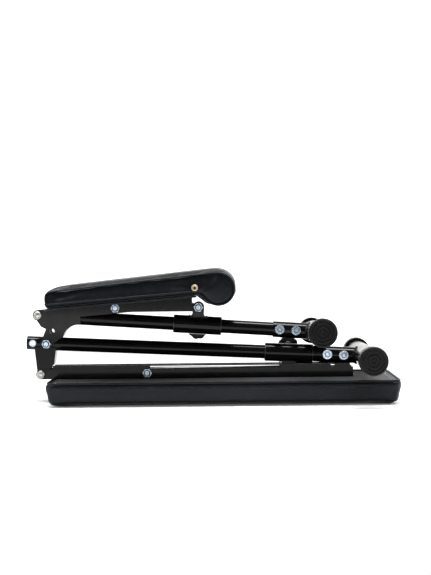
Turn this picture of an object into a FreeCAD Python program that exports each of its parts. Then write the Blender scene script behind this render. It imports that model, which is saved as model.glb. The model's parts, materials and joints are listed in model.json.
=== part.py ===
import FreeCAD, Part
import math
import os

import Sketcher
from FreeCAD import Placement, Rotation, Vector

# Folding adjustable weight bench, drawn folded flat for storage: it lies on the face of its
# backrest, with both legs and the seat folded on top of it. X runs from the hinges (-X) to the
# feet (+X), Z is up, and Y is across the bench, which is symmetric about Y = 0 except for the
# two pull knobs on the +Y side. The origin is at the middle of the resting face.

doc = FreeCAD.newDocument("weight_bench")
sheet = doc.addObject("Spreadsheet::Sheet", "dims")

DIMENSIONS = (
    # pivots, in the XZ plane
    ("back_hinge_x", -370.0, "hinge between backrest and rear leg"),
    ("back_hinge_z", 61.0, ""),
    ("leg_pivot_x", -357.6, "pivot between the two legs"),
    ("leg_pivot_z", 127.2, ""),
    ("seat_hinge_x", -375.6, "hinge between seat and front leg"),
    ("seat_hinge_z", 190.1, ""),
    # slopes of the folded frames, degrees up towards +X
    ("seat_slope", 4.6, ""),
    ("front_slope", -3.84, "front leg axis"),
    ("rear_slope", -2.75, "rear leg axis, which runs through the leg pivot"),
    ("front_axis_drop", 2.06, "height of the seat hinge above the front leg axis"),
    # legs and feet
    ("tube_radius", 15.0, "leg tubes, outside"),
    ("tube_wall", 2.0, ""),
    ("rear_stub", 44.4, "rear tube behind the leg pivot"),
    ("front_tube_start", 50.0, "front tube, from the seat hinge along the leg"),
    ("front_foot_at", 609.6, "foot centre, from the seat hinge along the leg"),
    ("rear_foot_at", 694.1, "foot centre, from the leg pivot along the leg"),
    ("tube_end_gap", 30.0, "leg tube end to foot centre"),
    ("socket_radius", 17.5, ""),
    ("front_socket_length", 76.0, ""),
    ("rear_socket_length", 92.0, ""),
    ("socket_end_gap", 20.0, "socket end to foot centre, before the foot tube is cut out"),
    ("socket_bolt_first", 46.0, "from foot centre back along the leg"),
    ("socket_bolt_pitch", 35.5, ""),
    ("foot_radius", 24.0, ""),
    ("foot_wall", 2.0, ""),
    ("foot_half_length", 205.0, ""),
    ("cap_radius", 30.0, ""),
    ("cap_start", 180.0, "cap mouth, from the centre plane"),
    ("cap_length", 30.0, ""),
    ("cap_ring_first", 5.0, "rings moulded in the cap face, inner radius"),
    ("cap_ring_pitch", 7.0, ""),
    ("cap_groove_width", 3.0, ""),
    ("cap_groove_depth", 1.2, ""),
    ("front_foot_turn", -2.4, "the front foot sits turned in its play about the leg"),
    ("rear_foot_turn", -0.8, ""),
    # sheet metal
    ("sheet_thickness", 2.0, ""),
    ("channel_half_width", 20.5, "pad channels, outside"),
    ("channel_half_height", 11.5, "seat channel"),
    ("back_channel_half_height", 11.0, "backrest channel"),
    ("seat_channel_length", 337.0, ""),
    ("back_channel_length", 679.5, ""),
    ("inner_channel_half_width", 18.5, ""),
    ("inner_channel_start", 25.0, ""),
    ("inner_channel_end", 673.0, ""),
    ("inner_channel_top", 18.5, ""),
    ("inner_floor_gap_start", -18.0, "gap in its floor, from the link pivot"),
    ("inner_floor_gap_end", 335.0, ""),
    ("inner_window_low", 11.4, "long windows in its sides"),
    ("inner_window_high", 15.8, ""),
    ("inner_window_start", 4.0, "from the link pivot"),
    ("inner_window_end", 288.0, ""),
    ("inner_slot_start", 42.0, "short windows, back from its end"),
    ("inner_slot_end", 31.0, ""),
    ("plate_thickness", 2.4, "gusset and hinge bracket"),
    ("gusset_half_width", 18.0, ""),
    ("bracket_half_width", 15.0, ""),
    ("bracket_toe", 9.5, "corners of the bracket, from the back hinge"),
    ("bracket_shin", 28.5, ""),
    ("bracket_shin_height", 23.0, ""),
    ("bracket_top_front", 33.0, ""),
    ("bracket_top_back", 14.5, ""),
    ("bracket_top_drop", 8.0, "its top edge, below the leg pivot"),
    ("lug_radius", 8.5, "plate ends inside the channels"),
    ("gusset_pivot_radius", 14.0, "plate end at the leg pivot"),
    ("gusset_arc_radius", 34.5, "hollow front edge of the gusset"),
    ("gusset_arc_x", -287.5, ""),
    ("gusset_arc_z", 134.0, ""),
    ("gusset_web_start", 102.0, "web round the hollow edge, degrees"),
    ("gusset_web_sweep", 62.0, ""),
    ("bushing_radius", 7.5, "crush tubes in the rear leg tube"),
    ("lock_hole_radius", 5.0, ""),
    ("lock_hole_reach", 31.0, "leg pivot to either lock hole"),
    ("leg_swing", 111.0, "folded to standing, degrees"),
    ("gusset_lock_angle", 66.0, "lock hole direction from the leg pivot"),
    # links, sleeves and pull pins
    ("link_half_height", 9.2, ""),
    ("link_half_width", 8.0, ""),
    ("link_inner_half_width", 6.0, ""),
    ("seat_link_at", 170.2, "link pivot along the seat channel"),
    ("back_link_at", 232.0, "link pivot along the backrest channel"),
    ("back_link_rise", 1.0, "and above the hinge"),
    ("front_clevis_reach", 39.0, "clevis pivot from the leg axis"),
    ("rear_clevis_reach", 36.5, ""),
    ("clevis_foot", 19.0, "half length of the clevis saddle"),
    ("clevis_foot_height", 16.0, ""),
    ("clevis_shoulder", 24.0, ""),
    ("clevis_floor", 22.6, "bottom of the gap between the ears"),
    ("front_sleeve_at", 348.4, "sleeve centre, from the seat hinge along the leg"),
    ("rear_sleeve_at", 529.0, "sleeve centre, from the leg pivot along the leg"),
    ("sleeve_radius", 20.0, ""),
    ("sleeve_bore", 18.0, ""),
    ("sleeve_length", 102.0, ""),
    ("guide_bore", 17.0, "nylon guide rings, loose on the leg"),
    ("guide_length", 12.0, ""),
    ("guide_flange_radius", 19.4, ""),
    ("guide_flange", 1.5, ""),
    ("ear_half_width", 11.4, ""),
    ("ear_gap_half", 8.4, ""),
    ("ear_radius", 12.5, ""),
    ("knob_tilt", 14.0, "pull pins lean away from the clevis, degrees"),
    ("knob_radius", 22.5, ""),
    ("knob_start", 45.0, ""),
    ("knob_length", 14.0, ""),
    ("knob_skin", 3.0, "knob beyond the end of its pin"),
    ("pin_radius", 4.0, ""),
    ("pin_tip", 15.9, "pin tip from the leg axis: just clear of the tube"),
    ("collar_radius", 6.8, ""),
    ("collar_start", 24.2, ""),
    ("collar_length", 2.0, ""),
    ("barrel_radius", 9.0, ""),
    ("barrel_start", 17.0, "before the sleeve is cut out of it"),
    ("barrel_end", 43.0, ""),
    ("chamber_radius", 7.0, ""),
    ("chamber_start", 24.0, ""),
    ("chamber_length", 16.0, ""),
    ("spring_radius", 5.6, ""),
    ("spring_wire", 0.6, ""),
    ("spring_pitch", 1.6, "drawn at its shortest, with the pin pulled"),
    ("spring_start", 35.0, ""),
    ("spring_height", 4.0, ""),
    ("front_hole_first", -55.6, "first pin hole, from the folded sleeve centre"),
    ("front_hole_pitch", -17.5, ""),
    ("rear_hole_first", -63.8, ""),
    ("rear_hole_pitch", -27.9, ""),
    ("hole_play", 0.3, "radial play of the pins in the leg holes"),
    # fasteners
    ("bolt_radius", 5.0, "pivot bolts"),
    ("bolt_hex", 9.8, "across the corners, halved"),
    ("bolt_head", 6.5, ""),
    ("nut_height", 8.0, ""),
    ("thread_stick", 2.5, "thread beyond the nut"),
    ("small_bolt_radius", 4.0, "socket bolts"),
    ("small_bolt_hex", 7.5, ""),
    ("small_bolt_head", 5.0, ""),
    ("small_nut_height", 6.5, ""),
    ("washer_radius", 10.0, ""),
    ("washer_thickness", 1.6, ""),
    ("running_fit", 0.05, "radial clearance on pivots"),
    ("side_gap", 0.2, "between faces that turn against each other"),
    ("rivet_head_radius", 8.0, ""),
    ("rivet_head", 2.0, ""),
    ("screw_head_radius", 5.0, ""),
    ("screw_head", 2.5, ""),
    ("screw_radius", 2.0, ""),
    ("screw_length", 10.0, ""),
    ("back_screw_1", 60.0, "pad screws, from the hinge along the channel"),
    ("back_screw_2", 200.0, ""),
    ("back_screw_3", 592.0, ""),
    ("back_screw_4", 650.0, ""),
    ("seat_screw_1", 130.0, ""),
    ("seat_screw_2", 215.0, ""),
    ("seat_screw_3", 325.0, ""),
    ("overcut", 5.0, "cutters reach this far past the metal"),
    # pads
    ("pad_half_width", 135.0, ""),
    ("pad_corner", 22.0, ""),
    ("board_thickness", 12.0, ""),
    ("board_inset", 5.0, ""),
    ("back_pad_start", 23.0, "from the back hinge"),
    ("back_pad_length", 749.0, ""),
    ("seat_pad_start", 28.0, "from the seat hinge"),
    ("seat_pad_top_start", 56.5, "height of the seat face above the hinge line"),
    ("seat_pad_top_end", 64.6, ""),
    ("seat_board_gap", 2.0, "seat board, back from the start of the pad"),
    ("seat_board_length", 324.0, ""),
    ("roll_x", 398.8, "rolled front edge of the seat"),
    ("roll_z", 24.0, ""),
    ("roll_radius", 41.0, ""),
    ("roll_overlap", 15.0, "the flat part ends this far inside the roll"),
    ("eyelet_radius", 6.5, ""),
    ("eyelet_bore", 2.5, ""),
    ("eyelet_height", 2.5, ""),
    ("eyelet_x", 350.0, ""),
    ("eyelet_z", 31.0, ""),
)

for row, (alias, value, note) in enumerate(DIMENSIONS, start=1):
    sheet.set("A%d" % row, alias)
    sheet.set("B%d" % row, str(value))
    sheet.set("C%d" % row, note)
    sheet.setAlias("B%d" % row, alias)
doc.recompute()

nodes = []


def dim(alias):
    """A driving dimension, as a number."""
    return float(sheet.get(alias))


def node(label, shape_object):
    """Name a finished sub-part, which is exported under its label."""
    shape_object.Label = label
    nodes.append(shape_object)
    return shape_object


def frame(x, z, slope, turn=0.0):
    """A frame in the centre plane: its X axis climbs at slope, and it is turned about that axis."""
    lean = Placement(Vector(x, 0, z), Rotation(Vector(0, 1, 0), -slope))
    return lean * Placement(Vector(), Rotation(Vector(1, 0, 0), turn))


def along(base, distance, turn=0.0):
    """The same frame moved along its own X axis, and turned about it."""
    return base * Placement(Vector(distance, 0, 0), Rotation(Vector(1, 0, 0), turn))


# ------------------------------------------------------------------ sketch-based sub-parts

def new_body(name, place):
    body = doc.addObject("PartDesign::Body", name)
    body.Placement = place
    return body


def new_sketch(body, role):
    """A sketch on one of the body's own origin planes."""
    sketch = body.newObject("Sketcher::SketchObject", body.Name + "_sketch")
    plane = [f for f in body.Origin.OriginFeatures if f.Role == role][0]
    sketch.AttachmentSupport = [(plane, "")]
    sketch.MapMode = "FlatFace"
    return sketch


def bind(sketch, kind, geometry, position, expression):
    index = sketch.addConstraint(Sketcher.Constraint(kind, -1, 1, geometry, position, 1.0))
    sketch.setExpression("Constraints[%d]" % index, expression)


def polygon(body, points, role="XZ_Plane"):
    """A closed outline whose corners are pairs of expressions."""
    sketch = new_sketch(body, role)
    count = len(points)
    turns = [2 * math.pi * i / count for i in range(count)]
    start = [Vector(50 * math.cos(t), 50 * math.sin(t), 0) for t in turns]
    for i in range(count):
        sketch.addGeometry(Part.LineSegment(start[i], start[(i + 1) % count]))
    for i in range(count):
        sketch.addConstraint(Sketcher.Constraint("Coincident", i, 2, (i + 1) % count, 1))
    for i, (across, up) in enumerate(points):
        bind(sketch, "DistanceX", i, 1, across)
        bind(sketch, "DistanceY", i, 1, up)
    return sketch


def circles(body, rings, role="XZ_Plane"):
    """Circles given as (across, up, radius) expressions."""
    sketch = new_sketch(body, role)
    for i, (across, up, radius) in enumerate(rings):
        sketch.addGeometry(Part.Circle(Vector(10 * i, 10, 0), Vector(0, 0, 1), 5))
        bind(sketch, "DistanceX", i, 3, across)
        bind(sketch, "DistanceY", i, 3, up)
        index = sketch.addConstraint(Sketcher.Constraint("Radius", i, 5.0))
        sketch.setExpression("Constraints[%d]" % index, radius)
    return sketch


def feature(body, kind, sketch, length, sides):
    step = body.newObject("PartDesign::" + kind, body.Name + "_" + kind.lower())
    step.Profile = sketch
    step.SideType = sides
    step.setExpression("Length", length)
    sketch.Visibility = False
    return step


def pad(body, sketch, length, sides="Symmetric"):
    return feature(body, "Pad", sketch, length, sides)


def pocket(body, sketch, length):
    return feature(body, "Pocket", sketch, length, "Symmetric")


def box_points(x0, x1, z0, z1):
    return [(x0, z0), (x1, z0), (x1, z1), (x0, z1)]


def screw_holes(body, screws):
    """Holes for the pad screws, right through the body."""
    rings = [("dims." + screw, "0", "dims.screw_radius") for screw in screws]
    pocket(body, circles(body, rings, "XY_Plane"), "4 * dims.board_thickness")


# ------------------------------------------------------------------ primitives and booleans

def cylinder(radius, height, place, axis="Y"):
    """A solid cylinder that starts at place and runs along that frame's X, Y or Z axis."""
    turn = {"X": Rotation(Vector(0, 1, 0), 90), "Y": Rotation(Vector(1, 0, 0), -90), "Z": Rotation()}
    solid = doc.addObject("Part::Cylinder", "cylinder")
    solid.setExpression("Radius", radius)
    solid.setExpression("Height", height)
    solid.Placement = place * Placement(Vector(), turn[axis])
    return solid


def hexagon(corner_radius, height, place):
    """A hexagonal prism along the frame's Y axis, with a flat towards Z."""
    solid = doc.addObject("Part::Prism", "hexagon")
    solid.Polygon = 6
    solid.setExpression("Circumradius", corner_radius)
    solid.setExpression("Height", height)
    solid.Placement = place * Placement(Vector(), Rotation(Vector(1, 0, 0), -90))
    return solid


def fuse(parts):
    joined = doc.addObject("Part::MultiFuse", "fuse")
    joined.Shapes = parts
    joined.Refine = True
    return joined


def cut(base, tools):
    """Base less one or more tools."""
    taken = doc.addObject("Part::Cut", "cut")
    taken.Base = base
    taken.Tool = tools[0] if len(tools) == 1 else fuse(tools)
    return taken


def group(parts):
    """Separate solids that share one node."""
    together = doc.addObject("Part::Compound", "group")
    together.Links = parts
    return together


def at(base, x, y, z):
    return base * Placement(Vector(x, y, z), Rotation())


def tube(outer, inner, length, place, axis="X"):
    return cut(cylinder(outer, length, place, axis), [cylinder(inner, length, place, axis)])


# ------------------------------------------------------------------ frames of the folded bench

back = frame(dim("back_hinge_x"), dim("back_hinge_z"), 0)
rear = frame(dim("leg_pivot_x"), dim("leg_pivot_z"), dim("rear_slope"))
hinge = frame(dim("seat_hinge_x"), dim("seat_hinge_z"), dim("front_slope"))
front = at(hinge, 0, 0, -dim("front_axis_drop"))
seat = frame(dim("seat_hinge_x"), dim("seat_hinge_z"), dim("seat_slope"))
level = frame(0, 0, 0)
front_sleeve = along(front, dim("front_sleeve_at"))
rear_sleeve = along(rear, dim("rear_sleeve_at"))
seat_link_pivot = at(seat, dim("seat_link_at"), 0, 0)
back_link_pivot = at(back, dim("back_link_at"), 0, dim("back_link_rise"))
front_clevis_pivot = at(front_sleeve, 0, 0, dim("front_clevis_reach"))
rear_clevis_pivot = at(rear_sleeve, 0, 0, -dim("rear_clevis_reach"))


# ------------------------------------------------------------------ fasteners

HEAD_NEAR = Placement(Vector(), Rotation(Vector(1, 0, 0), 180))


def pivot_bolt(place, half_grip):
    """A hexagon bolt across the frame's Y axis, its nut on the near side unless place is
    turned by HEAD_NEAR."""
    grip = dim(half_grip)
    far = at(place, 0, grip + dim("side_gap"), 0)
    near = at(place, 0, -grip - dim("side_gap") - dim("nut_height"), 0)
    tip = at(near, 0, -dim("thread_stick"), 0)
    length = "2 * dims.%s + 2 * dims.side_gap + dims.nut_height + dims.thread_stick" % half_grip
    shank = cylinder("dims.bolt_radius", length, tip)
    bolt = fuse([shank, hexagon("dims.bolt_hex", "dims.bolt_head", far)])
    bore = cylinder("dims.bolt_radius", "dims.nut_height", near)
    nut = cut(hexagon("dims.bolt_hex", "dims.nut_height", near), [bore])
    return [bolt, nut]


def socket_bolt(place):
    """A smaller bolt through socket and leg tube, with a wide washer under each end."""
    grip = dim("socket_radius")
    near_washer = at(place, 0, -grip - dim("washer_thickness"), 0)
    far_washer = at(place, 0, grip, 0)
    near_nut = at(near_washer, 0, -dim("small_nut_height"), 0)
    far_head = at(far_washer, 0, dim("washer_thickness"), 0)
    tip = at(near_nut, 0, -dim("thread_stick"), 0)
    length = ("2 * dims.socket_radius + 2 * dims.washer_thickness"
              " + dims.small_nut_height + dims.thread_stick")
    shank = cylinder("dims.small_bolt_radius", length, tip)
    bolt = fuse([shank, hexagon("dims.small_bolt_hex", "dims.small_bolt_head", far_head)])
    bore = cylinder("dims.small_bolt_radius", "dims.small_nut_height", near_nut)
    nut = cut(hexagon("dims.small_bolt_hex", "dims.small_nut_height", near_nut), [bore])
    ring = ("dims.washer_radius", "dims.small_bolt_radius", "dims.washer_thickness")
    return [bolt, nut, tube(*ring, near_washer, "Y"), tube(*ring, far_washer, "Y")]


def pad_screw(place):
    """A pan head screw along +Z of the frame, which is at the underside of its head."""
    under = at(place, 0, 0, -dim("screw_head"))
    head = cylinder("dims.screw_head_radius", "dims.screw_head", under, "Z")
    shank = cylinder("dims.screw_radius", "dims.screw_length", place, "Z")
    return fuse([head, shank])


# ------------------------------------------------------------------ backrest

def backrest_cushion():
    body = new_body("back_cushion_body", back)
    end = "dims.back_pad_start + dims.back_pad_length"
    outline = polygon(body, [("dims.back_pad_start", "-dims.pad_half_width"), (end, "-dims.pad_half_width"),
                             (end, "dims.pad_half_width"), ("dims.back_pad_start", "dims.pad_half_width")],
                      "XY_Plane")
    outline.setExpression("AttachmentOffset.Base.z", "-dims.back_hinge_z")
    slab = pad(body, outline, "dims.back_hinge_z - dims.back_channel_half_height - dims.board_thickness",
               "One side")
    doc.recompute()
    corners = ["Edge%d" % (i + 1) for i, edge in enumerate(slab.Shape.Edges)
               if edge.BoundBox.XLength < 0.1 and edge.BoundBox.YLength < 0.1]
    rounding = body.newObject("PartDesign::Fillet", "back_cushion_rounding")
    rounding.Base = (slab, corners)
    rounding.setExpression("Radius", "dims.pad_corner")
    return body


def backrest_board():
    body = new_body("back_board_body", back)
    start = "dims.back_pad_start + dims.board_inset"
    end = "dims.back_pad_start + dims.back_pad_length - dims.board_inset"
    side = "dims.pad_half_width - dims.board_inset"
    outline = polygon(body, [(start, "-(%s)" % side), (end, "-(%s)" % side), (end, side), (start, side)],
                      "XY_Plane")
    outline.setExpression("AttachmentOffset.Base.z", "-dims.back_channel_half_height - dims.board_thickness")
    pad(body, outline, "dims.board_thickness", "One side")
    screw_holes(body, BACK_SCREWS)
    return body


def pad_channel(name, place, length, half_height, web_side, holes, screws):
    """A folded U channel from its hinge lug at the frame's origin; web_side is 1 up or -1 down."""
    body = new_body(name, place)
    half = "dims." + half_height
    pad(body, polygon(body, box_points("0", "dims." + length, "-" + half, half)),
        "2 * dims.channel_half_width")
    pad(body, circles(body, [("0", "0", half)]), "2 * dims.channel_half_width")
    inside = "%s - dims.sheet_thickness" % half
    past = "%s + dims.overcut" % half
    low, high = ("-(%s)" % past, inside) if web_side > 0 else ("-(%s)" % inside, past)
    pocket(body, polygon(body, box_points("-(%s)" % past, "dims.%s + dims.overcut" % length, low, high)),
           "2 * (dims.channel_half_width - dims.sheet_thickness)")
    pocket(body, circles(body, holes), "3 * dims.channel_half_width")
    screw_holes(body, screws)
    return body


def backrest_inner_channel():
    """The stiffener inside the backrest channel: a higher channel with a long window in each
    side and no floor where the link lies."""
    body = new_body("back_inner_body", back)
    floor = "-dims.back_channel_half_height + dims.sheet_thickness"
    pad(body, polygon(body, box_points("dims.inner_channel_start", "dims.inner_channel_end",
                                       floor, "dims.inner_channel_top")),
        "2 * dims.inner_channel_half_width")
    inside = "2 * (dims.inner_channel_half_width - dims.sheet_thickness)"
    pocket(body, polygon(body, box_points("0", "dims.inner_channel_end + dims.overcut",
                                          floor + " + dims.sheet_thickness",
                                          "dims.inner_channel_top + dims.overcut")),
           inside)
    pocket(body, polygon(body, box_points("dims.back_link_at + dims.inner_floor_gap_start",
                                          "dims.back_link_at + dims.inner_floor_gap_end",
                                          floor + " - dims.overcut", "0")),
           inside)
    for x0, x1 in (("dims.back_link_at + dims.inner_window_start", "dims.back_link_at + dims.inner_window_end"),
                   ("dims.inner_channel_end - dims.inner_slot_start",
                    "dims.inner_channel_end - dims.inner_slot_end")):
        pocket(body, polygon(body, box_points(x0, x1, "dims.inner_window_low", "dims.inner_window_high")),
               "3 * dims.channel_half_width")
    pocket(body, circles(body, [("dims.back_link_at", "dims.back_link_rise", "dims.bolt_radius")]),
           "3 * dims.channel_half_width")
    screw_holes(body, BACK_SCREWS)
    return body


def link_spacers(place, half_width):
    """Two tubes that keep a link in the middle of the channel of this outside half width."""
    start = dim("link_half_width") + dim("side_gap")
    reach = dim(half_width) - dim("sheet_thickness")
    length = "dims.%s - dims.sheet_thickness - dims.link_half_width - dims.side_gap" % half_width
    rings = ("dims.bushing_radius", "dims.bolt_radius", length)
    return group([tube(*rings, at(place, 0, start, 0), "Y"), tube(*rings, at(place, 0, -reach, 0), "Y")])


BACK_SCREWS = ("back_screw_1", "back_screw_2", "back_screw_3", "back_screw_4")
SEAT_SCREWS = ("seat_screw_1", "seat_screw_2", "seat_screw_3")
FIXED_HOLE = "dims.bolt_radius"
RUNNING_HOLE = "dims.bolt_radius + dims.running_fit"

node("backrest_cushion", backrest_cushion())
node("backrest_board", backrest_board())
node("backrest_channel", pad_channel("back_channel_body", back, "back_channel_length",
                                     "back_channel_half_height", -1,
                                     [("0", "0", FIXED_HOLE),
                                      ("dims.back_link_at", "dims.back_link_rise", FIXED_HOLE)], BACK_SCREWS))
node("backrest_inner_channel", backrest_inner_channel())
inner_floor = -dim("back_channel_half_height") + 2 * dim("sheet_thickness")
node("backrest_pad_screws", group([
    pad_screw(at(back, dim(screw), 0, inner_floor) * Placement(Vector(), Rotation(Vector(1, 0, 0), 180)))
    for screw in BACK_SCREWS]))
node("backrest_hinge_bolt", group(pivot_bolt(back * HEAD_NEAR, "channel_half_width")))
node("back_link_bolt", group(pivot_bolt(back_link_pivot, "channel_half_width")))
node("back_link_spacers", link_spacers(back_link_pivot, "inner_channel_half_width"))


# ------------------------------------------------------------------ seat

def seat_cushion():
    body = new_body("seat_cushion_body", seat)
    low = "dims.channel_half_height + dims.board_thickness"
    end = "dims.roll_x - dims.roll_overlap"
    slab = [("dims.seat_pad_start", low), (end, low), (end, "dims.seat_pad_top_end"),
            ("dims.seat_pad_start", "dims.seat_pad_top_start")]
    pad(body, polygon(body, slab), "2 * dims.pad_half_width")
    pad(body, circles(body, [("dims.roll_x", "dims.roll_z", "dims.roll_radius")]), "2 * dims.pad_half_width")
    return body


def seat_board():
    body = new_body("seat_board_body", seat)
    start = "dims.seat_pad_start + dims.seat_board_gap"
    outline = polygon(body, box_points(start, start + " + dims.seat_board_length", "dims.channel_half_height",
                                       "dims.channel_half_height + dims.board_thickness"))
    pad(body, outline, "2 * (dims.pad_half_width - dims.board_inset)")
    screw_holes(body, SEAT_SCREWS)
    return body


node("seat_cushion", seat_cushion())
node("seat_board", seat_board())
node("seat_channel", pad_channel("seat_channel_body", seat, "seat_channel_length", "channel_half_height", 1,
                                 [("0", "0", RUNNING_HOLE), ("dims.seat_link_at", "0", FIXED_HOLE)], SEAT_SCREWS))
seat_floor = dim("channel_half_height") - dim("sheet_thickness")
node("seat_pad_screws", group([pad_screw(at(seat, dim(screw), 0, seat_floor)) for screw in SEAT_SCREWS]))
node("seat_link_bolt", group(pivot_bolt(seat_link_pivot, "channel_half_width")))
node("seat_link_spacers", link_spacers(seat_link_pivot, "channel_half_width"))
eyelet_place = at(seat, dim("eyelet_x"), -dim("pad_half_width") - dim("eyelet_height"), dim("eyelet_z"))
node("seat_eyelet", tube("dims.eyelet_radius", "dims.eyelet_bore", "dims.eyelet_height", eyelet_place, "Y"))


# ------------------------------------------------------------------ legs

def leg_tube(base, start, length, holes, turn, foot_at):
    """A round tube with its socket bolt holes and its row of pull-pin holes on the far side."""
    place = along(base, start)
    bores = [cylinder("dims.tube_radius - dims.tube_wall", length, place, "X")]
    for step in (0, 1):
        distance = foot_at - dim("socket_bolt_first") - step * dim("socket_bolt_pitch")
        across = at(along(base, distance, turn), 0, -dim("socket_radius"), 0)
        bores.append(cylinder("dims.small_bolt_radius", "2 * dims.socket_radius", across))
    for distance, tilt in holes:
        bores.append(cylinder("dims.pin_radius + dims.hole_play", "2 * dims.tube_radius",
                              along(base, distance, tilt)))
    return cut(cylinder("dims.tube_radius", length, place, "X"), bores)


def foot_parts(side, foot, socket_length):
    """The cross foot of one leg: socket, foot tube, end caps and the two bolts."""
    foot_place = at(foot, 0, -dim("foot_half_length"), 0)
    foot_length = "2 * dims.foot_half_length"
    node(side + "_foot_tube", tube("dims.foot_radius", "dims.foot_radius - dims.foot_wall", foot_length,
                                   foot_place, "Y"))
    start = along(foot, -dim("socket_end_gap") - dim(socket_length))
    outer = cylinder("dims.socket_radius", "dims." + socket_length, start, "X")
    bores = [cylinder("dims.tube_radius", "dims." + socket_length, start, "X"),
             cylinder("dims.foot_radius", foot_length, foot_place)]
    bolts = []
    for step in (0, 1):
        bolt_place = along(foot, -dim("socket_bolt_first") - step * dim("socket_bolt_pitch"))
        bolts += socket_bolt(bolt_place)
        bores.append(cylinder("dims.small_bolt_radius", "2 * dims.washer_radius + 2 * dims.socket_radius",
                              at(bolt_place, 0, -dim("washer_radius") - dim("socket_radius"), 0)))
    node(side + "_leg_socket", cut(outer, bores))
    node(side + "_foot_caps", group([end_cap(foot), end_cap(foot * Placement(Vector(), Rotation(180, 0, 0)))]))
    node(side + "_socket_bolts", group(bolts))


def end_cap(foot):
    """A rubber cap over the +Y end of a foot tube, with rings moulded in its face."""
    mouth = at(foot, 0, dim("cap_start"), 0)
    bore = cylinder("dims.foot_radius", "dims.foot_half_length - dims.cap_start", mouth)
    face = at(mouth, 0, dim("cap_length") - dim("cap_groove_depth"), 0)
    tools = [bore]
    for count in range(3):
        ring = "dims.cap_ring_first + %d * dims.cap_ring_pitch" % count
        tools.append(tube(ring + " + dims.cap_groove_width", ring, "dims.cap_groove_depth", face, "Y"))
    return cut(cylinder("dims.cap_radius", "dims.cap_length", mouth), tools)


def rear_leg_tube():
    length = "dims.rear_stub + dims.rear_foot_at - dims.tube_end_gap"
    holes = [(dim("rear_sleeve_at") + dim("rear_hole_first") + i * dim("rear_hole_pitch"), dim("knob_tilt"))
             for i in range(4)]
    plain = leg_tube(rear, -dim("rear_stub"), length, holes, dim("rear_foot_turn"), dim("rear_foot_at"))
    bushings = [cylinder("dims.bushing_radius", "2 * dims.socket_radius", at(place, 0, -dim("socket_radius"), 0))
                for place in (rear, stub_lock)]
    return cut(plain, bushings)


def front_leg_tube():
    length = "dims.front_foot_at - dims.front_tube_start - dims.tube_end_gap"
    holes = [(dim("front_sleeve_at") + dim("front_hole_first") + i * dim("front_hole_pitch"), -dim("knob_tilt"))
             for i in range(2)]
    return leg_tube(front, dim("front_tube_start"), length, holes, dim("front_foot_turn"), dim("front_foot_at"))


def bracket_outline(front_inset, low, top, back):
    """The bracket's side outline from its toe up to its top; the front edge is set back by front_inset."""
    return [("dims.back_hinge_x + dims.bracket_toe", low),
            ("dims.back_hinge_x + dims.bracket_shin - %s" % front_inset,
             "dims.back_hinge_z + dims.bracket_shin_height"),
            ("dims.back_hinge_x + dims.bracket_top_front - %s" % front_inset, top),
            ("dims.back_hinge_x - %s" % back, top)]


def rear_leg_bracket():
    """The hinge bracket under the rear leg: a folded U whose web faces the feet."""
    body = new_body("rear_bracket_body", level)
    heel = [("dims.back_hinge_x - dims.lug_radius", "dims.back_hinge_z"),
            ("dims.back_hinge_x", "dims.back_hinge_z - dims.lug_radius")]
    pad(body, polygon(body, heel + bracket_outline("0", "dims.back_hinge_z", "dims.leg_pivot_z - dims.bracket_top_drop",
                                                   "dims.bracket_top_back")),
        "2 * dims.bracket_half_width")
    pad(body, circles(body, [("dims.back_hinge_x", "dims.back_hinge_z", "dims.lug_radius")]),
        "2 * dims.bracket_half_width")
    below = "dims.back_hinge_z - 2 * dims.lug_radius"
    room = [("dims.back_hinge_x - 2 * dims.bracket_top_back", below)] + bracket_outline(
        "dims.plate_thickness", below, "dims.leg_pivot_z", "2 * dims.bracket_top_back")
    pocket(body, polygon(body, room), "2 * (dims.bracket_half_width - dims.plate_thickness)")
    pocket(body, circles(body, [("dims.back_hinge_x", "dims.back_hinge_z", RUNNING_HOLE)]),
           "3 * dims.bracket_half_width")
    return cut(body, [cylinder("dims.tube_radius", "4 * dims.rear_stub", along(rear, -dim("rear_stub")), "X")])


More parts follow.
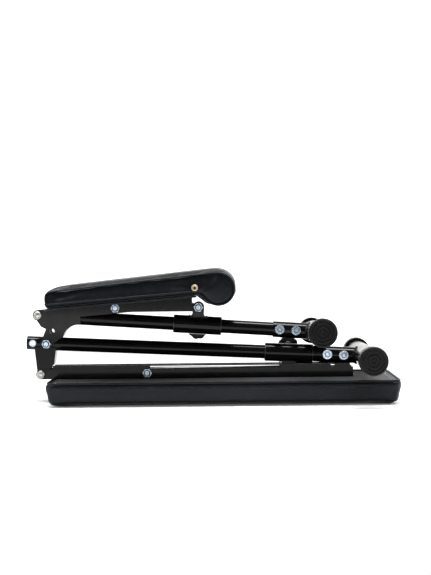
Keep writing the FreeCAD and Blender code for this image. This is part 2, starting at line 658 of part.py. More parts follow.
def leg_gusset():
    """The pressed gusset that carries the front leg: two plates joined by a web round their
    hollow front edge."""
    body = new_body("gusset_body", level)
    pivot_x, pivot_z = "dims.leg_pivot_x", "dims.leg_pivot_z"
    seat_x, seat_z = "dims.seat_hinge_x", "dims.seat_hinge_z"
    # from the leg pivot up the back edge to the seat hinge, out along the front tube, and back
    # down behind the hollow edge; each corner is given from the nearer pivot
    outline = [(pivot_x + " - dims.gusset_pivot_radius", pivot_z), (pivot_x + " - 7.5", pivot_z + " + 17"),
               (pivot_x + " - 1", pivot_z + " + 32.5"), (pivot_x + " - 11.5", pivot_z + " + 37.5"),
               (seat_x + " - 7.4", seat_z + " - 4.2"), (seat_x + " + 1.5", seat_z + " + 8.3"),
               (seat_x + " + 92.6", seat_z), (seat_x + " + 92.6", seat_z + " - 23"),
               (seat_x + " + 79.6", seat_z + " - 22"), ("dims.gusset_arc_x", pivot_z + " + 17"),
               (seat_x + " + 55.6", pivot_z + " + 17"), (pivot_x + " + dims.gusset_pivot_radius", pivot_z)]
    pad(body, polygon(body, outline), "2 * dims.gusset_half_width")
    ends = ((seat_x, seat_z, "dims.lug_radius"), (pivot_x, pivot_z, "dims.gusset_pivot_radius"))
    for end in ends:
        pad(body, circles(body, [end]), "2 * dims.gusset_half_width")
    pocket(body, circles(body, [("dims.gusset_arc_x", "dims.gusset_arc_z", "dims.gusset_arc_radius")]),
           "3 * dims.gusset_half_width")
    inside = "2 * (dims.gusset_half_width - dims.plate_thickness)"
    pocket(body, polygon(body, box_points(seat_x + " - 30", seat_x + " + 120", pivot_z + " - 30", seat_z + " + 30")),
           inside)
    lock_cos = "cos(dims.gusset_lock_angle * 1 deg)"
    lock_sin = "sin(dims.gusset_lock_angle * 1 deg)"
    pocket(body, circles(body, [
        (seat_x, seat_z, FIXED_HOLE), (pivot_x, pivot_z, FIXED_HOLE),
        ("%s + dims.lock_hole_reach * %s" % (pivot_x, lock_cos),
         "%s + dims.lock_hole_reach * %s" % (pivot_z, lock_sin), "dims.lock_hole_radius")]),
        "3 * dims.gusset_half_width")
    inner_face = dim("gusset_half_width") - dim("plate_thickness")
    arc_centre = frame(dim("gusset_arc_x"), dim("gusset_arc_z"), 0)
    sector = doc.addObject("Part::Cylinder", "gusset_web")
    sector.setExpression("Radius", "dims.gusset_arc_radius + dims.plate_thickness")
    sector.setExpression("Height", inside)
    sector.setExpression("Angle", "dims.gusset_web_sweep")
    sector.Placement = (at(arc_centre, 0, inner_face, 0) * Placement(Vector(), Rotation(Vector(1, 0, 0), 90))
                        * Placement(Vector(), Rotation(Vector(0, 0, 1), dim("gusset_web_start"))))
    hollow = cylinder("dims.gusset_arc_radius", inside, at(arc_centre, 0, -inner_face, 0))
    tube_room = cylinder("dims.tube_radius", "4 * dims.front_tube_start", front, "X")
    return fuse([body, cut(sector, [hollow, tube_room])])


def bushing(place, bore):
    """A steel crush tube across the rear leg tube."""
    start = at(place, 0, -dim("bracket_half_width"), 0)
    return tube("dims.bushing_radius", bore, "2 * dims.bracket_half_width", start, "Y")


lock_turn = Placement(Vector(), Rotation(Vector(0, 1, 0), -dim("gusset_lock_angle") - dim("leg_swing")))
stub_lock = at(frame(dim("leg_pivot_x"), dim("leg_pivot_z"), 0) * lock_turn, dim("lock_hole_reach"), 0, 0)
node("rear_leg_tube", rear_leg_tube())
node("rear_leg_bracket", rear_leg_bracket())
node("leg_pivot_bushing", bushing(rear, RUNNING_HOLE))
node("lock_hole_bushing", bushing(stub_lock, "dims.lock_hole_radius"))
foot_parts("rear", along(rear, dim("rear_foot_at"), dim("rear_foot_turn")), "rear_socket_length")
node("front_leg_tube", front_leg_tube())
node("leg_gusset", leg_gusset())
foot_parts("front", along(front, dim("front_foot_at"), dim("front_foot_turn")), "front_socket_length")
node("leg_pivot_bolt", group(pivot_bolt(rear, "gusset_half_width")))
node("seat_hinge_bolt", group(pivot_bolt(seat * HEAD_NEAR, "channel_half_width")))


# ------------------------------------------------------------------ links

def link_bar(name, start, end):
    """A folded bar between two pivots, round ended and open on its lower side between them."""
    run = end.Base - start.Base
    place = frame(start.Base.x, start.Base.z, math.degrees(math.atan2(run.z, run.x)))
    body = new_body(name, place)
    length = "%.4f" % run.Length
    half = "dims.link_half_height"
    pad(body, polygon(body, box_points("0", length, "-" + half, half)), "2 * dims.link_half_width")
    for x in ("0", length):
        pad(body, circles(body, [(x, "0", half)]), "2 * dims.link_half_width")
    pocket(body, polygon(body, box_points("2 * dims.link_half_width", "%s - 2 * dims.link_half_width" % length,
                                          "-%s - dims.overcut" % half, half + " - dims.sheet_thickness")),
           "2 * dims.link_inner_half_width")
    pocket(body, circles(body, [("0", "0", RUNNING_HOLE), (length, "0", RUNNING_HOLE)]),
           "3 * dims.link_half_width")
    return body


node("seat_link_bar", link_bar("seat_link_body", seat_link_pivot, front_clevis_pivot))
node("back_link_bar", link_bar("back_link_body", back_link_pivot, rear_clevis_pivot))


# ------------------------------------------------------------------ sleeves and pull pins

def sleeve_tube(place, tilt):
    start = at(place, -dim("sleeve_length") / 2, 0, 0)
    turned = along(place, 0, tilt)
    return cut(cylinder("dims.sleeve_radius", "dims.sleeve_length", start, "X"),
               [cylinder("dims.sleeve_bore", "dims.sleeve_length", start, "X"),
                cylinder("dims.pin_radius + dims.hole_play", "2 * dims.sleeve_radius", turned)])


def guide_rings(place):
    """Flanged nylon rings in both ends of a sleeve."""
    rings = []
    for turn in (0, 180):
        end = place * Placement(Vector(), Rotation(turn, 0, 0))
        inner = at(end, dim("sleeve_length") / 2 - dim("guide_length"), 0, 0)
        flange = at(end, dim("sleeve_length") / 2, 0, 0)
        whole = fuse([cylinder("dims.sleeve_bore", "dims.guide_length + dims.guide_flange", inner, "X"),
                      cylinder("dims.guide_flange_radius", "dims.guide_flange", flange, "X")])
        rings.append(cut(whole, [cylinder("dims.guide_bore", "dims.guide_length + dims.guide_flange", inner, "X")]))
    return group(rings)


def clevis(name, place, reach, flip):
    """Two ears on a saddle, welded to the sleeve; flip turns it to hang below."""
    turned = place * Placement(Vector(), Rotation(Vector(1, 0, 0), 180 if flip else 0))
    body = new_body(name, turned)
    ear, foot, low, shoulder = ("dims.ear_radius", "dims.clevis_foot", "dims.clevis_foot_height",
                                "dims.clevis_shoulder")
    top = "dims." + reach
    pad(body, polygon(body, [("-" + ear, top), ("-" + ear, shoulder), ("-" + foot, low), (foot, low),
                             (ear, shoulder), (ear, top)]),
        "2 * dims.ear_half_width")
    pad(body, circles(body, [("0", top, ear)]), "2 * dims.ear_half_width")
    pocket(body, polygon(body, box_points("-2 * " + ear, "2 * " + ear, "dims.clevis_floor", top + " + 2 * " + ear)),
           "2 * dims.ear_gap_half")
    pocket(body, circles(body, [("0", top, FIXED_HOLE)]), "3 * dims.ear_half_width")
    start = at(place, -dim("sleeve_length") / 2, 0, 0)
    return cut(body, [cylinder("dims.sleeve_radius", "dims.sleeve_length", start, "X")])


def clevis_rivet(place):
    """A headed pin that lies inside the channel, so it has thin heads and no nut."""
    grip = dim("ear_half_width")
    tip = at(place, 0, -grip - dim("rivet_head"), 0)
    length = "2 * dims.ear_half_width + 2 * dims.rivet_head"
    heads = [cylinder("dims.rivet_head_radius", "dims.rivet_head", end) for end in (tip, at(place, 0, grip, 0))]
    return fuse([cylinder("dims.bolt_radius", length, tip)] + heads)


def pull_pin_parts(side, place, tilt):
    """Barrel, spring, pin and knob of one pull pin, along +Y of the turned sleeve frame."""
    turned = along(place, 0, tilt)
    barrel_place = at(turned, 0, dim("barrel_start"), 0)
    chamber = cylinder("dims.chamber_radius", "dims.chamber_length", at(turned, 0, dim("chamber_start"), 0))
    bore = cylinder("dims.pin_radius + dims.running_fit", "dims.barrel_end - dims.barrel_start", barrel_place)
    sleeve_room = cylinder("dims.sleeve_radius", "dims.sleeve_length",
                           at(place, -dim("sleeve_length") / 2, 0, 0), "X")
    barrel = cylinder("dims.barrel_radius", "dims.barrel_end - dims.barrel_start", barrel_place)
    node(side + "_pin_barrel", cut(barrel, [chamber, bore, sleeve_room]))

    helix = doc.addObject("Part::Helix", side + "_helix")
    helix.setExpression("Radius", "dims.spring_radius")
    helix.setExpression("Pitch", "dims.spring_pitch")
    helix.setExpression("Height", "dims.spring_height")
    wire = doc.addObject("Part::Circle", side + "_wire")
    wire.setExpression("Radius", "dims.spring_wire")
    wire.Placement = Placement(Vector(dim("spring_radius"), 0, 0), Rotation(Vector(1, 0, 0), 90))
    doc.recompute()
    coil = doc.addObject("Part::Sweep", side + "_coil")
    coil.Sections = [wire]
    coil.Spine = (helix, ["Edge%d" % (i + 1) for i in range(len(helix.Shape.Edges))])
    coil.Solid = True
    coil.Frenet = True
    coil.Placement = at(turned, 0, dim("spring_start"), 0) * Placement(Vector(), Rotation(Vector(1, 0, 0), -90))
    node(side + "_pin_spring", coil)

    reach = "dims.knob_start + dims.knob_length - dims.knob_skin - dims.pin_tip"
    pin = cylinder("dims.pin_radius", reach, at(turned, 0, dim("pin_tip"), 0))
    collar = cylinder("dims.collar_radius", "dims.collar_length", at(turned, 0, dim("collar_start"), 0))
    node(side + "_lock_pin", fuse([pin, collar]))
    knob_place = at(turned, 0, dim("knob_start"), 0)
    knob = cylinder("dims.knob_radius", "dims.knob_length", knob_place)
    node(side + "_pull_knob", cut(knob, [cylinder("dims.pin_radius", "dims.knob_length - dims.knob_skin", knob_place)]))


for side, place, flip in (("front", front_sleeve, False), ("rear", rear_sleeve, True)):
    tilt = dim("knob_tilt") * (1 if flip else -1)
    node(side + "_sleeve_tube", sleeve_tube(place, tilt))
    node(side + "_guide_rings", guide_rings(place))
    node(side + "_sleeve_clevis", clevis(side + "_clevis_body", place, side + "_clevis_reach", flip))
    pull_pin_parts(side, place, tilt)
node("front_clevis_bolt", group(pivot_bolt(front_clevis_pivot, "ear_half_width")))
node("rear_clevis_pin", clevis_rivet(rear_clevis_pivot))

# ------------------------------------------------------------------ check and export

doc.recompute()
for part in doc.Objects:
    if "Invalid" in part.State or "Error" in part.State:
        raise RuntimeError("%s (%s) did not compute: %s" % (part.Name, part.Label, part.State))
labels = [part.Label for part in nodes]
if len(set(labels)) != len(labels):
    raise RuntimeError("two sub-parts share a label")
os.makedirs("parts", exist_ok=True)
for part in nodes:
    if part.Shape.isNull() or not part.Shape.isValid() or part.Shape.Volume <= 0:
        raise RuntimeError("%s has no valid shape" % part.Label)
    part.Shape.exportStep("parts/%s.step" % part.Label)
print("%d sub-parts written" % len(nodes))
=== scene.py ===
import json
import math

import bmesh
import bpy
import numpy as np
from mathutils import Euler, Matrix, Vector


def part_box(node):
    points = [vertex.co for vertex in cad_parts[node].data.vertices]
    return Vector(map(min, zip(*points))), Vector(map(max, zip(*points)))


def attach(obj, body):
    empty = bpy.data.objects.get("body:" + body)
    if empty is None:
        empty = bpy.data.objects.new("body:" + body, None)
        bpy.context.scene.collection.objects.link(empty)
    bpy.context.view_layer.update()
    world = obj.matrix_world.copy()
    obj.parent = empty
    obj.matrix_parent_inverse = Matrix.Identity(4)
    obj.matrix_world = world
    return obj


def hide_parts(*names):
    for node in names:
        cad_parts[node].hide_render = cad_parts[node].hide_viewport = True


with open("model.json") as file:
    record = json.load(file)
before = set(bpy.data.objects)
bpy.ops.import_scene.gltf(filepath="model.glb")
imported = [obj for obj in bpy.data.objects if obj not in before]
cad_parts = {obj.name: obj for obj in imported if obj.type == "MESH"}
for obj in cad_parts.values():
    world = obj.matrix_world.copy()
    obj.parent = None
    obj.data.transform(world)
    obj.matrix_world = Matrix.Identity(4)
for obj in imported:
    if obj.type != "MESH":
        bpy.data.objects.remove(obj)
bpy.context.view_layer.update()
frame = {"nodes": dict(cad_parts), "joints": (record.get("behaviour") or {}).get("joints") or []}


# Backrest pad: foam on a board, covered in black upholstery vinyl that is pulled round the board's
# edge and stapled to its back. The bench lies on its padded face, so that face is pressed flat.
# The cover is sewn from a face panel and a side band, which meet in a seam part way up the side.

def new_finish(name, colour, roughness, metallic=0.0):
    """A Principled material; returns the material, its node tree and its shader."""
    finish = bpy.data.materials.new(name)
    finish.use_nodes = True
    shader = finish.node_tree.nodes["Principled BSDF"]
    shader.inputs["Base Color"].default_value = (*colour, 1)
    shader.inputs["Roughness"].default_value = roughness
    shader.inputs["Metallic"].default_value = metallic
    return finish, finish.node_tree, shader


def pattern(tree, kind, scale, **settings):
    """A texture on the piece's own coordinates, in cells per metre."""
    place = tree.nodes.new("ShaderNodeTexCoord")
    texture = tree.nodes.new(kind)
    texture.inputs["Scale"].default_value = scale
    for socket, value in settings.items():
        texture.inputs[socket].default_value = value
    tree.links.new(place.outputs["Object"], texture.inputs["Vector"])
    return texture


def blotch(tree, shader, scale, dark, light):
    """The colour wanders between dark and light in soft patches."""
    noise = pattern(tree, "ShaderNodeTexNoise", scale, Detail=5.0, Roughness=0.6)
    ramp = tree.nodes.new("ShaderNodeValToRGB")
    ramp.color_ramp.elements[0].position, ramp.color_ramp.elements[1].position = 0.35, 0.68
    ramp.color_ramp.elements[0].color = (*dark, 1)
    ramp.color_ramp.elements[1].color = (*light, 1)
    tree.links.new(noise.outputs["Fac"], ramp.inputs["Fac"])
    tree.links.new(ramp.outputs["Color"], shader.inputs["Base Color"])


def gloss_range(tree, shader, scale, low, high):
    """The roughness wanders between low and high, as handling and polish leave it."""
    noise = pattern(tree, "ShaderNodeTexNoise", scale, Detail=4.0, Roughness=0.55)
    spread = tree.nodes.new("ShaderNodeMapRange")
    spread.inputs["From Min"].default_value, spread.inputs["From Max"].default_value = 0.3, 0.7
    spread.inputs["To Min"].default_value, spread.inputs["To Max"].default_value = low, high
    tree.links.new(noise.outputs["Fac"], spread.inputs["Value"])
    tree.links.new(spread.outputs["Result"], shader.inputs["Roughness"])


def relief(tree, shader, layers):
    """Stacked bumps; each layer is (height output, depth in metres)."""
    previous = None
    for height, depth in layers:
        bump = tree.nodes.new("ShaderNodeBump")
        bump.inputs["Strength"].default_value = 1.0
        bump.inputs["Distance"].default_value = depth
        tree.links.new(height, bump.inputs["Height"])
        if previous:
            tree.links.new(previous.outputs["Normal"], bump.inputs["Normal"])
        previous = bump
    tree.links.new(previous.outputs["Normal"], shader.inputs["Normal"])


def upholstery_vinyl(name, dark, light):
    """Pebbled leather-look vinyl: small rounded cells with finer pores, and slow creases."""
    finish, tree, shader = new_finish(name, light, 0.42)
    shader.inputs["Specular IOR Level"].default_value = 0.2
    shader.inputs["Specular Tint"].default_value = (0.86, 0.93, 1.0, 1)
    shader.inputs["Sheen Weight"].default_value = 0.02
    blotch(tree, shader, 14.0, dark, light)
    gloss_range(tree, shader, 30.0, 0.28, 0.44)
    pebbles = pattern(tree, "ShaderNodeTexVoronoi", 620.0, Randomness=0.9)
    pores = pattern(tree, "ShaderNodeTexNoise", 1900.0, Detail=2.0)
    creases = pattern(tree, "ShaderNodeTexNoise", 26.0, Detail=6.0, Roughness=0.62, Distortion=0.6)
    relief(tree, shader, [(creases.outputs["Fac"], 0.0026), (pebbles.outputs["Distance"], 0.00016),
                          (pores.outputs["Fac"], 0.00005)])
    return finish


def add_piece(name, points, faces, body, finish, slot):
    """A smooth mesh object at the origin, riding on a body, with doubled points merged and faces
    outward."""
    mesh = bpy.data.meshes.new(name)
    mesh.from_pydata(points.tolist(), [], faces)
    work = bmesh.new()
    work.from_mesh(mesh)
    bmesh.ops.remove_doubles(work, verts=work.verts, dist=1e-6)
    bmesh.ops.recalc_face_normals(work, faces=work.faces)
    work.to_mesh(mesh)
    work.free()
    mesh.polygons.foreach_set("use_smooth", np.full(len(mesh.polygons), True))
    piece = bpy.data.objects.new(name, mesh)
    bpy.context.scene.collection.objects.link(piece)
    mesh.materials.append(finish)
    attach(piece, body)
    return piece


def grid_faces(rows, columns, close_rows=False):
    """Quads of a rows x columns grid of points that closes on itself along its columns."""
    r = np.arange(rows if close_rows else rows - 1)[:, None]
    c = np.arange(columns)[None, :]
    corners = [r * columns + c, r * columns + (c + 1) % columns,
               (r + 1) % rows * columns + (c + 1) % columns, (r + 1) % rows * columns + c]
    return np.stack(corners, -1).reshape(-1, 4).tolist()


def closed_stack(rings):
    """A closed skin over a stack of equal rings, with a flat face on the first and the last."""
    rows, columns, _ = rings.shape
    faces = grid_faces(rows, columns)
    faces.append(list(range(columns))[::-1])
    faces.append(list(range((rows - 1) * columns, rows * columns)))
    return rings.reshape(-1, 3), faces


def points_of(piece):
    """The piece's vertices, one row each."""
    co = np.empty(len(piece.data.vertices) * 3, np.float32)
    piece.data.vertices.foreach_get("co", co)
    return co.reshape(-1, 3).astype(float)


def put_points(piece, co):
    """Moves the piece's vertices to the rows of co."""
    piece.data.vertices.foreach_set("co", co.astype(np.float32).ravel())
    piece.data.update()


def even_skin(piece, voxel):
    """Remeshes the piece into even squares, as the cover needs before it is blown up."""
    even = piece.modifiers.new("even", "REMESH")
    even.mode = "VOXEL"
    even.voxel_size = voxel
    skin = bpy.data.meshes.new_from_object(piece.evaluated_get(bpy.context.evaluated_depsgraph_get()))
    piece.modifiers.clear()
    skin.materials.clear()
    skin.materials.append(piece.data.materials[0])
    piece.data = skin
    skin.polygons.foreach_set("use_smooth", np.full(len(skin.polygons), True))


def stuff(piece, sewn, pressure, reach):
    """Blows the cover up with Cloth while its sewn points stay put; no point moves past reach."""
    flat = points_of(piece)
    group = piece.vertex_groups.new(name="sewn")
    group.add(np.flatnonzero(sewn).tolist(), 1.0, "REPLACE")
    cloth = piece.modifiers.new("stuffing", "CLOTH")
    cloth.settings.quality = 5
    cloth.settings.use_pressure = True
    cloth.settings.uniform_pressure_force = pressure
    cloth.settings.effector_weights.gravity = 0.0
    cloth.settings.vertex_group_mass = "sewn"
    cloth.point_cache.frame_start, cloth.point_cache.frame_end = 1, 20
    for step in range(1, 21):
        bpy.context.scene.frame_set(step)
    blown = piece.evaluated_get(bpy.context.evaluated_depsgraph_get()).to_mesh()
    co = np.empty(len(blown.vertices) * 3, np.float32)
    blown.vertices.foreach_get("co", co)
    piece.modifiers.clear()
    piece.vertex_groups.clear()
    move = co.reshape(-1, 3).astype(float) - flat
    length = np.linalg.norm(move, axis=1, keepdims=True) + 1e-9
    put_points(piece, flat + move / length * reach * np.tanh(length / reach))
    bpy.context.scene.frame_set(1)


def round_rectangle(low, high, corner, count=24):
    """Points round a rectangle with quarter-circle corners, counter-clockwise from the +X side."""
    turns = np.linspace(0, math.pi / 2, count)
    quarters = [(high[0] - corner, high[1] - corner, 0), (low[0] + corner, high[1] - corner, 1),
                (low[0] + corner, low[1] + corner, 2), (high[0] - corner, low[1] + corner, 3)]
    return np.concatenate([np.stack([x + corner * np.cos(turns + q * math.pi / 2),
                                     y + corner * np.sin(turns + q * math.pi / 2)], -1)
                           for x, y, q in quarters])


def evenly(path, count, closed=True):
    """The same path with its points at equal steps."""
    whole = np.vstack([path, path[:1]]) if closed else path
    run = np.concatenate([[0], np.cumsum(np.linalg.norm(np.diff(whole, axis=0), axis=1))])
    steps = np.linspace(0, run[-1], count, endpoint=not closed)
    return np.stack([np.interp(steps, run, whole[:, k]) for k in range(whole.shape[1])], -1)


PAD_CORNER, SEAM_PITCH, SEAM_REACH, PUCKER_DEPTH, FLOOR_GAP = 0.015, 0.019, 0.007, 0.0011, 0.0006
COVER_FREE = 0.006
vinyl = upholstery_vinyl("black_vinyl", (0.0022, 0.0028, 0.0037), (0.0048, 0.0057, 0.0072))
pad_low, pad_high = (np.array(corner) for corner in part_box("backrest_cushion"))
board_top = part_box("backrest_board")[1][2]
back_rim = board_top - 0.0006
back_seam = 0.0365
round_off = np.linspace(0, math.pi / 2, 7)
heights = np.concatenate([0.003 + 0.010 * (1 - np.cos(round_off)), np.linspace(0.0165, back_rim, 8)])
inset = np.concatenate([0.0015 + 0.011 * (1 - np.sin(round_off)), np.linspace(0.0015, 0.0003, 8)])
outline = [round_rectangle(pad_low[:2] + d, pad_high[:2] - d, PAD_CORNER - 0.5 * d) for d in inset]
rings = np.stack([np.column_stack([ring, np.full(len(ring), z)]) for ring, z in zip(outline, heights)])
backrest_pad = add_piece("backrest_pad", *closed_stack(rings), "backrest", vinyl, "pad_vinyl")
even_skin(backrest_pad, 0.0052)
co = points_of(backrest_pad)
stuff(backrest_pad, (co[:, 2] > back_rim - 0.006) | (abs(co[:, 2] - back_seam) < 0.0028), 4.0, COVER_FREE)

# the floor presses the padded face flat, and the cover puckers where the seam's stitches pull it
co = points_of(backrest_pad)
co[:, 2] = np.clip(co[:, 2], FLOOR_GAP, back_rim)
side = np.where(abs(co[:, 1]) > 0.12, co[:, 0], co[:, 1])
near_seam = np.exp(-((co[:, 2] - back_seam - 0.004) / SEAM_REACH) ** 2)
pucker = np.sin(side * 2 * math.pi / SEAM_PITCH + 2.3 * np.sin(side * 41)) * near_seam
middle = (pad_low[:2] + pad_high[:2]) / 2
on_side = abs(co[:, :2] - middle) > (pad_high[:2] - pad_low[:2]) / 2 - 0.012
co[:, :2] += PUCKER_DEPTH * np.sign(co[:, :2] - middle) * on_side * pucker[:, None]
put_points(backrest_pad, co)
rounder = backrest_pad.modifiers.new("rounder", "SUBSURF")
rounder.levels = rounder.render_levels = 1
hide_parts("backrest_cushion", "backrest_board")


# Piping and seam of the backrest cover: a cord wrapped in the same vinyl runs round the rim of the
# board, with a second, finer welt at the seam between face panel and side band.

def tube_along(path, radius, up, around=10, closed=True):
    """A round tube: each path point carries a circle in the plane of up and up x tangent. radius
    is one number or one per point."""
    after, before = np.roll(path, -1, 0), np.roll(path, 1, 0)
    if not closed:
        after[-1], before[0] = path[-1], path[0]
    tangent = after - before
    tangent /= np.linalg.norm(tangent, axis=1, keepdims=True)
    side = np.cross(np.broadcast_to(up, path.shape), tangent)
    side /= np.linalg.norm(side, axis=1, keepdims=True)
    lift = np.cross(tangent, side)
    turn = np.linspace(0, 2 * math.pi, around, endpoint=False)
    reach = np.broadcast_to(np.asarray(radius, float), len(path))[:, None, None]
    rings = path[:, None, :] + reach * (np.cos(turn)[None, :, None] * side[:, None, :]
                                        + np.sin(turn)[None, :, None] * lift[:, None, :])
    if closed:
        return rings.reshape(-1, 3), grid_faces(len(path), around, close_rows=True)
    return closed_stack(rings)


def gather(shapes):
    """Several (points, faces) shapes as one."""
    points, faces, start = [], [], 0
    for some, rings_of in shapes:
        points.append(some)
        faces += [[i + start for i in face] for face in rings_of]
        start += len(some)
    return np.concatenate(points), faces


def laid_on(path, piece, lift, axes):
    """Each path point moves to the mean of its nearest points of the piece, in the given axes,
    and then away from the piece's middle by lift."""
    co = points_of(piece)
    found = path.copy()
    near = co[np.stack([np.argpartition(((co - p) ** 2).sum(1), 5)[:5] for p in path])].mean(1)
    found[:, axes] = near[:, axes]
    smooth = sum(np.roll(found, k, 0) for k in range(-4, 5)) / 9
    return smooth + lift


def outward_lift(path, amount, flat_axis):
    """A vector of the given length at each point of a closed loop, square to it and outward."""
    tangent = np.roll(path, -1, 0) - np.roll(path, 1, 0)
    tangent /= np.linalg.norm(tangent, axis=1, keepdims=True)
    return amount * np.cross(tangent, np.broadcast_to(flat_axis, path.shape))


UP, ACROSS = np.array([0.0, 0.0, 1.0]), np.array([0.0, 1.0, 0.0])
RIM_CORD, SEAM_CORD = 0.0027, 0.0015
loop = evenly(round_rectangle(pad_low[:2] + 0.0015, pad_high[:2] - 0.0015, 0.014), 480)
rim_path = np.column_stack([loop, np.full(len(loop), back_rim + 0.0004)])
rim_path = laid_on(rim_path, backrest_pad, 0, [0, 1]) - outward_lift(rim_path, 0.0006, UP)
seam_path = np.column_stack([loop, np.full(len(loop), back_seam)])
seam_path = laid_on(seam_path, backrest_pad, 0, [0, 1])
stitch = 1 + 0.12 * np.sin(np.arange(len(loop)) * math.pi / 1.5)
welts = [tube_along(rim_path, RIM_CORD, UP), tube_along(seam_path, SEAM_CORD * stitch, UP)]
add_piece("backrest_piping", *gather(welts), "backrest", vinyl, "pad_vinyl")


# Dust cover on the back of the backrest board: thin black woven sheet, turned under at its edge
# and held by a row of wire staples.

dust_cloth, tree, shader = new_finish("dust_cover_cloth", (0.016, 0.017, 0.02), 0.62)
blotch(tree, shader, 9.0, (0.007, 0.008, 0.009), (0.014, 0.015, 0.017))
shader.inputs["Sheen Weight"].default_value = 0.12
weave = pattern(tree, "ShaderNodeTexWave", 420.0, Distortion=1.5, Detail=2.0)
slack = pattern(tree, "ShaderNodeTexNoise", 16.0, Detail=3.0)
relief(tree, shader, [(slack.outputs["Fac"], 0.0012), (weave.outputs["Fac"], 0.00006)])


def thin_sheet(loop, low, high, hem):
    """A flat sheet with a rounded, slightly raised hem: rings at shrinking distance from the edge."""
    centre = loop.mean(0)
    levels = [(1.0, low), (1.002, (low + high) / 2), (1.0, high + hem), (0.97, high + hem), (0.96, high)]
    return closed_stack(np.stack([np.column_stack([centre + (loop - centre) * scale, np.full(len(loop), z)])
                                  for scale, z in levels]))


def staples(loop, base, width=0.011, wire=0.0006):
    """Staple crowns: a low arch of wire at each point of the loop, turned to lie along it."""
    ahead = np.roll(loop, -1, 0) - np.roll(loop, 1, 0)
    arch = np.linspace(-1, 1, 9)
    bend = np.stack([arch * width / 2, 0 * arch, wire * 0.9 * (1 - arch ** 6)], -1)
    shapes = []
    for (x, y), turn in zip(loop, np.arctan2(ahead[:, 1], ahead[:, 0])):
        spin = np.array([[math.cos(turn), math.sin(turn), 0], [-math.sin(turn), math.cos(turn), 0], [0, 0, 1]])
        shapes.append(tube_along(bend @ spin + [x, y, base], wire, UP, around=6, closed=False))
    return gather(shapes)


sheet_loop = evenly(round_rectangle(pad_low[:2] + 0.012, pad_high[:2] - 0.012, 0.016), 160)
cover = thin_sheet(sheet_loop, back_rim - 0.0004, back_rim + 0.0002, 0.0004)
dust_cover = add_piece("backrest_dust_cover", *cover, "backrest", dust_cloth, "pad_board")
zinc, tree, shader = new_finish("zinc_plate", (0.5, 0.6, 0.7), 0.24, metallic=1.0)
blotch(tree, shader, 130.0, (0.36, 0.46, 0.58), (0.68, 0.74, 0.78))
gloss_range(tree, shader, 160.0, 0.14, 0.32)
scratches = pattern(tree, "ShaderNodeTexNoise", 700.0, Detail=3.0)
relief(tree, shader, [(scratches.outputs["Fac"], 0.00004)])
staple_loop = evenly(round_rectangle(pad_low[:2] + 0.018, pad_high[:2] - 0.018, 0.014), 48)
add_piece("backrest_staples", *staples(staple_loop, back_rim + 0.0004), "backrest", zinc, "zinc_steel")


# Seat pad: foam on a short board, in the same vinyl, with its front edge rolled down over the
# board's end. A side panel is let in at each side with piping round it, and the cover goes down
# round the board in a narrow band with a welt above and below.

pivots = {joint["name"]: np.array(joint["pos_m"]) for joint in frame["joints"] if "pos_m" in joint}
SEAT_SLOPE = math.radians(4.6)
seat_along = np.array([math.cos(SEAT_SLOPE), 0, math.sin(SEAT_SLOPE)])
seat_up = np.array([-math.sin(SEAT_SLOPE), 0, math.cos(SEAT_SLOPE)])


def in_seat(along, across, up):
    """Points of the seat's own frame, whose origin is the seat hinge, in the bench's frame."""
    return (pivots["seat_adjust"] + np.multiply.outer(along, seat_along) + np.multiply.outer(across, ACROSS)
            + np.multiply.outer(up, seat_up))


SEAT_BACK, ROLL_AT, ROLL_UP, ROLL_RADIUS = 0.028, 0.3988, 0.024, 0.041
BAND_LOW, BAND_HIGH, SEAT_HALF, WELT_PITCH, WELT_RIPPLE = 0.0118, 0.0238, 0.135, 0.021, 0.0005


def seat_profile(shrink, count=260):
    """The side view of the pad, counter-clockwise: flat band below, round back corner, a face that
    climbs gently, and the roll as most of a circle. shrink moves it inward."""
    roll = np.radians(np.linspace(-152, 91, 70))
    corner = np.radians(np.linspace(90, 180, 14))
    ring = np.concatenate([
        np.array([[SEAT_BACK + 0.002, BAND_LOW], [0.349, BAND_LOW]]),
        np.array([[0.353, BAND_LOW + 0.001], [0.3575, 0.0085]]),
        np.stack([ROLL_AT + ROLL_RADIUS * np.cos(roll), ROLL_UP + ROLL_RADIUS * np.sin(roll)], -1),
        np.stack([SEAT_BACK + 0.016 + 0.016 * np.cos(corner), 0.0405 + 0.016 * np.sin(corner)], -1)])
    ring = evenly(ring, count)
    ring = sum(np.roll(ring, k, 0) for k in (-1, 0, 1)) / 3
    ahead = np.roll(ring, -1, 0) - np.roll(ring, 1, 0)
    ahead /= np.linalg.norm(ahead, axis=1, keepdims=True)
    return ring - shrink * np.stack([ahead[:, 1], -ahead[:, 0]], -1)


edge = np.linspace(0, math.pi / 2, 6)
across = np.concatenate([-SEAT_HALF + 0.003 + 0.009 * (1 - np.sin(edge[::-1])), np.linspace(-0.115, 0.115, 20),
                         SEAT_HALF - 0.003 - 0.009 * (1 - np.sin(edge))])
shrinks = 0.003 + np.concatenate([0.009 * (1 - np.cos(edge[::-1])), np.zeros(20), 0.009 * (1 - np.cos(edge))])
rings = []
for y, shrink in zip(across, shrinks):
    ring = seat_profile(shrink)
    rings.append(in_seat(ring[:, 0], np.full(len(ring), y), ring[:, 1]))
seat_pad = add_piece("seat_pad", *closed_stack(np.stack(rings)), "seat", vinyl, "pad_vinyl")
even_skin(seat_pad, 0.005)
local = points_of(seat_pad) - pivots["seat_adjust"]
on_board = (local @ seat_up < BAND_HIGH + 0.001) & (local @ seat_along < 0.35)
stuff(seat_pad, on_board, 3.5, COVER_FREE)
co = points_of(seat_pad)
local = co - pivots["seat_adjust"]
along, up = local @ seat_along, local @ seat_up
near_welt = np.exp(-((up - BAND_HIGH - 0.005) / SEAM_REACH) ** 2)
ripple = np.sin(along * 2 * math.pi / WELT_PITCH + 2.0 * np.sin(along * 37)) * near_welt
